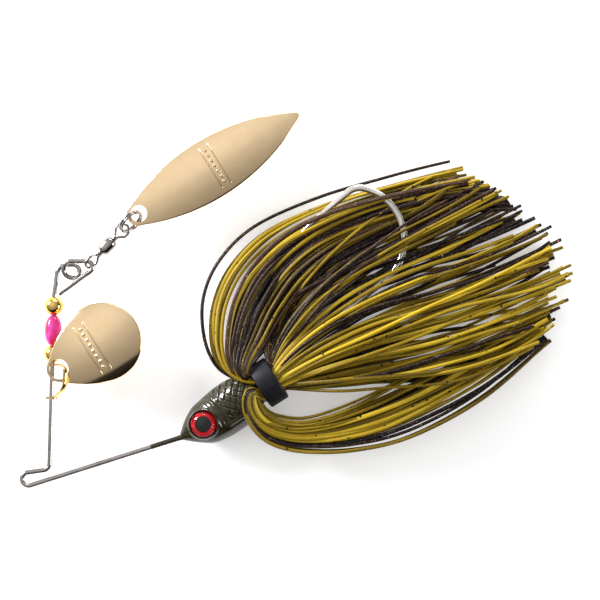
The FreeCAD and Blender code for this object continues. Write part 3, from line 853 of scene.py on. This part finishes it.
def wobble(path, amount):
    """Slow sideways drift of a limp strand, none at the collar."""
    travel = np.linspace(0, 1, len(path))
    drift = np.zeros(len(path))
    rise = np.zeros(len(path))
    for cycles in (0.7, 1.6):
        phase = travel * math.pi * 2 * cycles
        drift += rng.uniform(-1, 1) * np.sin(phase + rng.uniform(0, 6.28)) / cycles
        rise += rng.uniform(-1, 1) * np.sin(phase + rng.uniform(0, 6.28)) / cycles
    left = np.cross(UP, np.gradient(path, axis=0))
    left /= np.linalg.norm(left, axis=1)[:, None] + 1e-9
    grown = smoothstep(0.15, 0.6, travel) * amount
    return path + left * (drift * grown)[:, None] + UP * (rise * grown * 0.35)[:, None]


def settle(path, above):
    """Hold a path on its own side of the hook once it is away from the collar."""
    low, high = (OVER_HOOK, HIGHEST) if above else (LOWEST, UNDER_HOOK)
    away = smoothstep(0.06, 0.2, np.linspace(0, 1, len(path)))
    held = np.clip(path[:, 2], low, high)
    path[:, 2] = np.maximum(path[:, 2] * (1 - away) + held * away, LOWEST)
    return path


# Where the fan's tips lie, from the top one round to the bottom one.
TIP_LINE = [(28.5, 24.0), (35.5, 20.6), (42.0, 16.2), (47.3, 10.6), (49.2, 4.6), (47.6, -1.2),
            (44.4, -6.4)]


def tip_at(share):
    xs, ys = zip(*TIP_LINE)
    places = np.linspace(0, 1, len(TIP_LINE))
    return np.array([np.interp(share, places, xs), np.interp(share, places, ys), 0.0])


def fan_path(share, above, retract, run_level, tip_level):
    """A strand behind the collar. share is its place in the fan, 0 at the top and 1 at the bottom;
    below 0 it sets off past the top one and bends back to a tip inside the fan."""
    angle = math.pi * (0.04 + 0.92 * share) * (1 if above else -1)
    radius = rng.uniform(2.3, 2.7)
    inside = collar_point(0.6, angle, radius)
    edge = collar_point(HALF_BAND + 0.15, angle, radius)
    leave = 89 - 91 * share + rng.gauss(0, 5)
    arrive = 27 + rng.gauss(0, 4)
    tip = tip_at(np.clip(abs(share) + rng.gauss(0, 0.05), 0, 1)) - direction(arrive) * retract
    length = math.hypot(*(tip - edge)[:2])
    one = edge + HEAD_AHEAD * 0.8 + direction(leave) * length * 0.32
    two = tip - direction(arrive) * length * 0.34
    t = np.linspace(0, 1, STRAND_STEPS)
    weights = [(1 - t) ** 3, 3 * t * (1 - t) ** 2, 3 * t ** 2 * (1 - t), t ** 3]
    path = sum(weight[:, None] * point for weight, point in zip(weights, (edge, one, two, tip)))
    path[:, 2] = edge[2] + (run_level - edge[2]) * smoothstep(0.0, 0.25, t) \
        + (tip_level - run_level) * smoothstep(0.3, 1.0, t)
    path = settle(wobble(path, 0.8), above)
    return np.vstack([inside, path])


# The loops leave the front of the collar and turn back outside the head: an outermost and an
# innermost strand of each.
UPPER_LOOP = [
    [(-11.2, -14.5), (-14.9, -12.2), (-17.1, -7.2), (-17.2, -0.2), (-14.2, 6.6), (-7.6, 13.0),
     (3.9, 18.4), (16.5, 22.0), (28.8, 25.2)],
    [(-9.3, -13.3), (-8.7, -11.0), (-6.5, -7.4), (-3.3, -1.6), (1.2, 4.6), (8.0, 9.8),
     (17.0, 13.8), (27.2, 16.6), (38.2, 17.8)]]
LOWER_LOOP = [
    [(-9.1, -15.9), (-10.0, -18.8), (-8.8, -22.4), (-5.6, -25.3), (0.3, -26.8), (9.3, -26.6),
     (19.5, -24.1), (32.5, -17.1), (44.8, -6.8)],
    [(-7.1, -17.4), (-6.4, -19.0), (-5.2, -20.4), (-2.9, -21.5), (1.8, -21.8), (8.6, -19.6),
     (18.0, -15.2), (30.5, -9.2), (46.5, -1.2)]]


def loop_path(loop, share, angle, above, retract, levels):
    """A strand of a loop: share is 0 at the outermost one, 1 at the innermost one, and may lie a
    little past it. levels are its heights beside the collar, past the bend and at the tip."""
    radius = rng.uniform(2.4, 2.8)
    knots = [collar_point(-0.6, angle, radius),
             collar_point(-HALF_BAND - 0.1, angle, radius + 0.1)]
    jitter = rng.gauss(0, 0.35)
    count = len(loop[0])
    for i, (outer, inner) in enumerate(zip(*loop)):
        x, y = np.array(outer) * (1 - share) + np.array(inner) * share
        grown = min(1.0, i / 3)
        z = np.interp(i, [1, 4, count - 1], levels)
        knots.append(np.array([x + jitter * grown, y - jitter * grown, z]))
    last = unit(knots[-1] - knots[-2])
    knots[-1] = knots[-1] - last * min(retract, 8.0)
    path = smooth_path(knots, STRAND_STEPS + 14)
    path = wobble(path, 0.4)
    if above is None:
        path[:, 2] = np.clip(path[:, 2], LOWEST, HIGHEST)
        return path
    return settle(path, above)


def clustered(count, clusters, spread):
    """Shares from 0 to 1 in loose clumps."""
    shares = []
    for k in range(count):
        middle = (k % clusters + 0.5) / clusters
        shares.append(float(np.clip(middle + rng.gauss(0, spread), 0, 1)))
    return sorted(shares)


def add_bundle(name, paint, paths, replaced=()):
    strands = [strand(path, rng.uniform(0.66, 1.04), rng.uniform(-1.3, 1.3)) for path in paths]
    verts, faces = joined([made[:2] for made in strands])
    along = np.vstack([made[2] for made in strands])
    build(name, verts, faces, "root", paint, replaced, along, sharp=60)


def sorted_by_colour(shares, dark_share, make):
    """Olive and dark paths for these shares."""
    olive, dark = [], []
    for share in shares:
        path = make(share)
        (dark if rng.random() < dark_share(share) else olive).append(path)
    return olive, dark


def top_darkness(share):
    return 0.55 if share < 0.42 else 0.10


def low_darkness(share):
    return 0.72 if share < 0.42 else 0.60


def top_fan_strand(share):
    level = rng.uniform(6.4, 9.6) if share > 0.35 else rng.uniform(6.0, 7.6)
    return fan_path(share, True, abs(rng.gauss(0, 4.4)), level, rng.uniform(5.8, 9.0))


def low_fan_strand(share):
    return fan_path(share, False, abs(rng.gauss(0, 4.0)), rng.uniform(0.5, 3.2),
                    rng.uniform(0.5, 3.2))


top_shares = [0.08 + 0.90 * share ** 0.72 for share in clustered(46, 15, 0.014)]
low_shares = [1.44 * share - 0.40 for share in clustered(92, 28, 0.014)]
top_olive, top_dark = sorted_by_colour(top_shares, top_darkness, top_fan_strand)
low_olive, low_dark = sorted_by_colour(low_shares, low_darkness, low_fan_strand)
FAN_TOPS = [f"skirt_fan_top_{k}" for k in range(1, 5)]
FAN_BOTTOMS = [f"skirt_fan_bottom_{k}" for k in range(1, 5)]
add_bundle("fan_top_olive", OLIVE, top_olive, FAN_TOPS)
add_bundle("fan_top_dark", DARK, top_dark)
add_bundle("fan_low_olive", OLIVE, low_olive)
add_bundle("fan_low_dark", DARK, low_dark, FAN_BOTTOMS + ["skirt_core"])


def over_head_strand(share):
    """An upper loop strand that passes over the head: most then dive under the hook, and a few run
    over its point."""
    angle = math.radians(76 - 50 * share)
    retract = abs(rng.gauss(0, 2.5))
    if 0.36 < share < 0.46:
        levels = (rng.uniform(6.8, 7.6), rng.uniform(6.2, 7.2), rng.uniform(5.8, 6.8))
        return loop_path(UPPER_LOOP, share, angle, True, retract, levels)
    levels = (rng.uniform(6.8, 7.8), rng.uniform(2.4, 3.0), rng.uniform(1.4, 3.0))
    return loop_path(UPPER_LOOP, share, angle, None, retract, levels)


def under_head_strand(share):
    angle = -math.radians(76 - 50 * share)
    levels = (rng.uniform(0.8, 2.2), rng.uniform(0.6, 2.8), rng.uniform(0.6, 2.8))
    return loop_path(UPPER_LOOP, share, angle, False, abs(rng.gauss(0, 2.8)), levels)


def loop_darkness(share):
    if share < 0.03:
        return 1.0
    if share < 0.31:
        return 0.1
    return 0.5 if share < 0.5 else 0.78


over_shares = [0.25] + [0.38 + 0.74 * share for share in clustered(16, 9, 0.010)]
under_shares = [0.02, 0.08, 0.15, 0.22, 0.30, 0.36] \
    + [0.40 + 0.76 * share for share in clustered(42, 15, 0.012)]
olive, dark = sorted_by_colour(over_shares, loop_darkness, over_head_strand)
more_olive, more_dark = sorted_by_colour(under_shares, loop_darkness, under_head_strand)
add_bundle("upper_loop_olive", OLIVE, olive + more_olive, ("skirt_upper_loop_top",))
add_bundle("upper_loop_dark", DARK, dark + more_dark, ("skirt_upper_loop_bottom",))


def over_rear_strand(share):
    angle = math.radians(96 + 66 * share)
    levels = (rng.uniform(8.9, 9.3) - 2.2 * share, rng.uniform(4.6, 6.6),
              rng.uniform(4.9, 6.8))
    return loop_path(LOWER_LOOP, share, angle, None, abs(rng.gauss(0, 3.0)), levels)


def under_rear_strand(share):
    angle = -math.radians(96 + 66 * share)
    levels = (rng.uniform(0.45, 0.6) + 1.1 * (share - 0.4), rng.uniform(0.6, 3.9),
              rng.uniform(0.6, 3.9))
    return loop_path(LOWER_LOOP, share, angle, None, abs(rng.gauss(0, 3.0)), levels)


def rear_darkness(share):
    return 0.9 if 0.05 < share < 0.16 else 0.06


rear_shares = [0.40 + 0.60 * share for share in clustered(16, 9, 0.012)]
olive, dark = sorted_by_colour(clustered(17, 10, 0.010), rear_darkness, over_rear_strand)
more_olive, more_dark = sorted_by_colour(rear_shares, lambda share: 0.16, under_rear_strand)
add_bundle("lower_loop_olive", OLIVE, olive + more_olive, ("skirt_lower_loop_top",))
add_bundle("lower_loop_dark", DARK, dark + more_dark, ("skirt_lower_loop_bottom",))


# ---------------- blades
def blade_height(x, y, middle, long_radius, cross_radius):
    """Height of the cupped sheet at a point: level with the hole, highest at the middle."""
    return (middle ** 2 - (x - middle) ** 2) / (2 * long_radius) - y ** 2 / (2 * cross_radius)


def add_blade(name, node, body, hole_point, angle, outline, size, hole, stamp):
    """A cupped blade with a rounded rim, a punched hole and a raised plain stamping. outline is a
    function of the share of the length that gives (x, half width), and size is the place of the
    highest point, the radii of the cup along and across the blade, and the sheet's thickness."""
    *cup, thickness = size
    stations, columns = 150, 48
    ahead = direction(angle)
    left = direction(angle + 90)
    rows = [outline(0.5 - 0.5 * math.cos(math.pi * k / (stations - 1))) for k in range(stations)]
    xs = np.array([row[0] for row in rows])
    halves = np.maximum(np.array([row[1] for row in rows]), 0.02)
    slots = np.sin(np.linspace(-math.pi / 2, math.pi / 2, columns))
    x = np.repeat(xs[:, None], columns, axis=1)
    y = halves[:, None] * slots[None, :]
    edge = np.minimum((1 - np.abs(slots))[None, :] * halves[:, None],
                      np.minimum(xs - xs[0], xs[-1] - xs)[:, None])
    soft = np.sqrt(1 - (1 - np.clip(edge / 0.22, 0, 1)) ** 2)
    half_thick = thickness / 2 * (0.25 + 0.75 * soft)
    mid = blade_height(x, y, *cup)
    top = np.stack([x, y, mid + half_thick], axis=-1).reshape(-1, 3)
    bottom = np.stack([x, y, mid - half_thick], axis=-1).reshape(-1, 3)
    faces = []
    count = stations * columns
    for i in range(stations - 1):
        for j in range(columns - 1):
            a = i * columns + j
            b = a + count
            faces.append((a, a + columns, a + columns + 1, a + 1))
            faces.append((b, b + 1, b + columns + 1, b + columns))
    rim = [i * columns for i in range(stations)]
    rim += [(stations - 1) * columns + j for j in range(1, columns)]
    rim += [i * columns + columns - 1 for i in range(stations - 2, -1, -1)]
    rim += [j for j in range(columns - 2, 0, -1)]
    for a, b in zip(rim, rim[1:] + rim[:1]):
        faces.append((a, a + count, b + count, b))

    def place(points):
        points = np.asarray(points)
        return (hole_point + points[:, 0, None] * ahead + points[:, 1, None] * left
                + points[:, 2, None] * UP)

    def on_top(x, y):
        return x, y, blade_height(x, y, *cup) + thickness / 2

    sheet = place(np.vstack([top, bottom]))
    piece = build(name, sheet, faces, body, BLADE_GOLD, (node,))
    punch_hole(piece, hole_point, hole)
    sharpen(piece, 35)
    raised = []
    for line in stamp["lines"]:
        path = [on_top(line, v) for v in np.linspace(-stamp["half"], stamp["half"], 40)]
        raised.append(sweep(place(path), circle(1.0, 10) * np.array([0.13, 0.14]), UP))
    between = sum(stamp["lines"]) / len(stamp["lines"])
    for k in range(stamp["pips"]):
        v = (k - (stamp["pips"] - 1) / 2) * stamp["half"] * 1.8 / stamp["pips"]
        path = [on_top(between + u, v) for u in np.linspace(-stamp["pip"], stamp["pip"], 9)]
        raised.append(sweep(place(path), circle(1.0, 14) * np.array([0.13, 0.30]), UP))
    verts, faces = joined(raised)
    build(name + "_stamping", verts, faces, body, BLADE_GOLD)


def punch_hole(piece, centre, radius):
    """Cut the round hole with a boolean and keep the result as plain mesh."""
    axis = [(-3, radius), (3, radius), (3, 0.001), (-3, 0.001)]
    verts, faces = lathe(axis, centre, UP, (1, 0, 0), 96)
    mesh = bpy.data.meshes.new("punch")
    mesh.from_pydata((verts * MM).tolist(), [], faces)
    face_outward(mesh)
    punch = link_object("punch", mesh)
    cutter = piece.modifiers.new("hole", "BOOLEAN")
    cutter.operation = "DIFFERENCE"
    cutter.solver = "EXACT"
    cutter.object = punch
    graph = bpy.context.evaluated_depsgraph_get()
    finished = bpy.data.meshes.new_from_object(piece.evaluated_get(graph))
    piece.modifiers.clear()
    piece.data = finished
    bpy.data.objects.remove(punch)


def round_outline(share):
    """Place and half width of the round blade: a rounded hole end, flanks that spread and a round
    far end."""
    near_radius, far_radius, far_middle = 2.35, 7.1, 9.1
    flank_places = [-1.1, 0.8, 2.8, 4.7, 6.5]
    flank_halves = [2.08, 3.62, 5.0, 5.98, 6.6]
    x = -near_radius + (far_middle + far_radius + near_radius) * share
    if x < flank_places[0]:
        return x, math.sqrt(max(0.0, near_radius ** 2 - x ** 2))
    if x > flank_places[-1]:
        return x, math.sqrt(max(0.0, far_radius ** 2 - (x - far_middle) ** 2))
    return x, np.interp(x, flank_places, flank_halves)


def willow_outline(share):
    """Place and half width of the willow blade: a rounded hole end and two long arcs that meet in
    a blunt point."""
    near_radius, widest, widest_place = 2.25, 5.35, 14.8
    tip, tip_radius, tip_middle = 33.8, 0.95, 32.85
    x = -near_radius + (tip + near_radius) * share
    if x < -0.84:
        return x, math.sqrt(max(0.0, near_radius ** 2 - x ** 2))
    arc = 37.9 if x < widest_place else 39.4
    half = widest - (arc - math.sqrt(arc ** 2 - (x - widest_place) ** 2))
    blunt = math.sqrt(max(0.0, tip_radius ** 2 - (x - tip_middle) ** 2)) if x > tip_middle else half
    return x, min(blunt, half)


joints = {joint["name"]: joint for joint in frame["joints"]}
ROUND_HOLE = np.array(joints["colorado_swing"]["pos_m"]) / MM
WILLOW_HOLE = np.array(joints["willow_swing"]["pos_m"]) / MM
BLADE_ANGLE = 32.0
# The round blade hangs this far below its joint, so that its hole clears the clevis at the limit.
ROUND_DROP = 0.16
add_blade("round_blade", "colorado_blade", "colorado_blade", ROUND_HOLE - ROUND_DROP * UP,
          BLADE_ANGLE, round_outline, (8.6, 26.0, 12.8, 0.5), 1.82,
          {"lines": (6.2, 8.15), "half": 4.9, "pips": 8, "pip": 0.3})
add_blade("willow_leaf_blade", "willow_blade", "willow_blade", WILLOW_HOLE,
          BLADE_ANGLE, willow_outline, (14.8, 120.0, 12.5, 0.45), 1.5,
          {"lines": (15.2, 17.0), "half": 4.1, "pips": 7, "pip": 0.27})


# ---------------- swivel and split ring
SWIVEL_START = np.array(joints["swivel_swing"]["pos_m"]) / MM
SWIVEL_AHEAD = unit(np.array(joints["swivel_barrel_spin"]["axis"]))
SWIVEL_LEFT = np.cross(UP, SWIVEL_AHEAD)
BARREL_START = 3.65
BARREL_END = 6.95
BARREL_RADIUS = 1.18
RING_ALONG = 11.35
RING_RADIUS = 2.25
RING_TILT = 68.0


def in_swivel(along, out, tilt):
    """A point of a plane that holds the swivel's axis: along it, and out from it."""
    angle = math.radians(tilt)
    across = SWIVEL_LEFT * math.cos(angle) + UP * math.sin(angle)
    return SWIVEL_START + SWIVEL_AHEAD * along + across * out


def wire_eye(name, node, far, neck, radius, tilt):
    """A wire eye bent to a drop, its two ends side by side in the barrel and wrapped at the neck.
    far is the eye's end along the swivel's axis and neck is where it enters the barrel."""
    towards = math.copysign(1, neck - far)
    length = abs(neck - far)
    drop = [(length + 0.4, 0.14), (length - 0.35, 0.17), (radius * 2 + 0.1, 0.52),
            (radius * 1.6, 0.92 * radius), (radius, radius), (radius * 0.42, 0.82 * radius),
            (0, 0)]
    there = [in_swivel(far + towards * along, out, tilt) for along, out in drop]
    back = [in_swivel(far + towards * along, -out, tilt) for along, out in drop[-2::-1]]
    loop = sweep(smooth_path(there + back, 90), circle(0.23, 14), SWIVEL_LEFT)
    coil = []
    turns = 2.5
    for k in range(61):
        turn = 2 * math.pi * turns * k / 60
        along = neck - towards * (0.62 - 0.5 * k / 60)
        coil.append(SWIVEL_START + SWIVEL_AHEAD * along
                    + (SWIVEL_LEFT * math.cos(turn) + UP * math.sin(turn)) * 0.42)
    wrap = sweep(coil, circle(0.12, 10), SWIVEL_LEFT)
    verts, faces = joined([loop, wrap])
    build(name, verts, faces, node, DARK_NICKEL, (node,), sharp=60)


def add_barrel():
    """The hollow barrel, rolled in at both ends round the wire eyes."""
    half = (BARREL_END - BARREL_START) / 2
    outline = [(-1.0, 0.42), (-0.97, 0.62), (-0.84, 0.92), (-0.66, 1.08), (-0.42, BARREL_RADIUS)]
    outer = outline + [(-along, radius) for along, radius in outline[::-1]]
    inner = [(0.98, 0.36), (0.70, 0.36), (0.68, 0.80)]
    inner += [(-along, radius) for along, radius in inner[::-1]]
    profile = [(along * half, radius) for along, radius in outer + inner]
    middle = SWIVEL_START + SWIVEL_AHEAD * (BARREL_START + half)
    verts, faces = lathe(profile, middle, SWIVEL_AHEAD, UP, 48)
    build("rolled_barrel", verts, faces, "swivel_barrel", DARK_NICKEL,
          ("swivel_barrel",), sharp=45)


def add_split_ring():
    """Two turns of wire that lie side by side, crossing over once, with square-cut ends."""
    tilt = math.radians(RING_TILT)
    normal = UP * math.cos(tilt) - SWIVEL_LEFT * math.sin(tilt)
    across = np.cross(normal, SWIVEL_AHEAD)
    middle = SWIVEL_START + SWIVEL_AHEAD * RING_ALONG
    points = []
    for k in range(181):
        turn = 4.03 * math.pi * k / 180 + 0.6
        shift = 0.23 * (2 * smoothstep(0.46, 0.54, k / 180) - 1)
        spoke = SWIVEL_AHEAD * math.cos(turn) + across * math.sin(turn)
        points.append(middle + spoke * RING_RADIUS + normal * shift)
    verts, faces = sweep(points, rounded_bar(0.42, 0.40, 0.13), normal)
    build("wound_split_ring", verts, faces, "split_ring", DARK_NICKEL,
          ("split_ring",), sharp=50)


wire_eye("swivel_lower_eye", "swivel_arm_eye", 0.0, BARREL_START, 1.2, 55.0)
wire_eye("swivel_upper_eye", "swivel_blade_eye", 10.4, BARREL_END, 1.15, 8.0)
add_barrel()
add_split_ring()


# ---------------- CAD pieces shown as they are
for bare_node, bare_paint in (("top_bead", BEAD_GOLD), ("lower_bead", BEAD_GOLD),
                              ("oval_bead", PINK), ("clevis", CLEVIS_GOLD)):
    paint_node(bare_node, bare_paint)
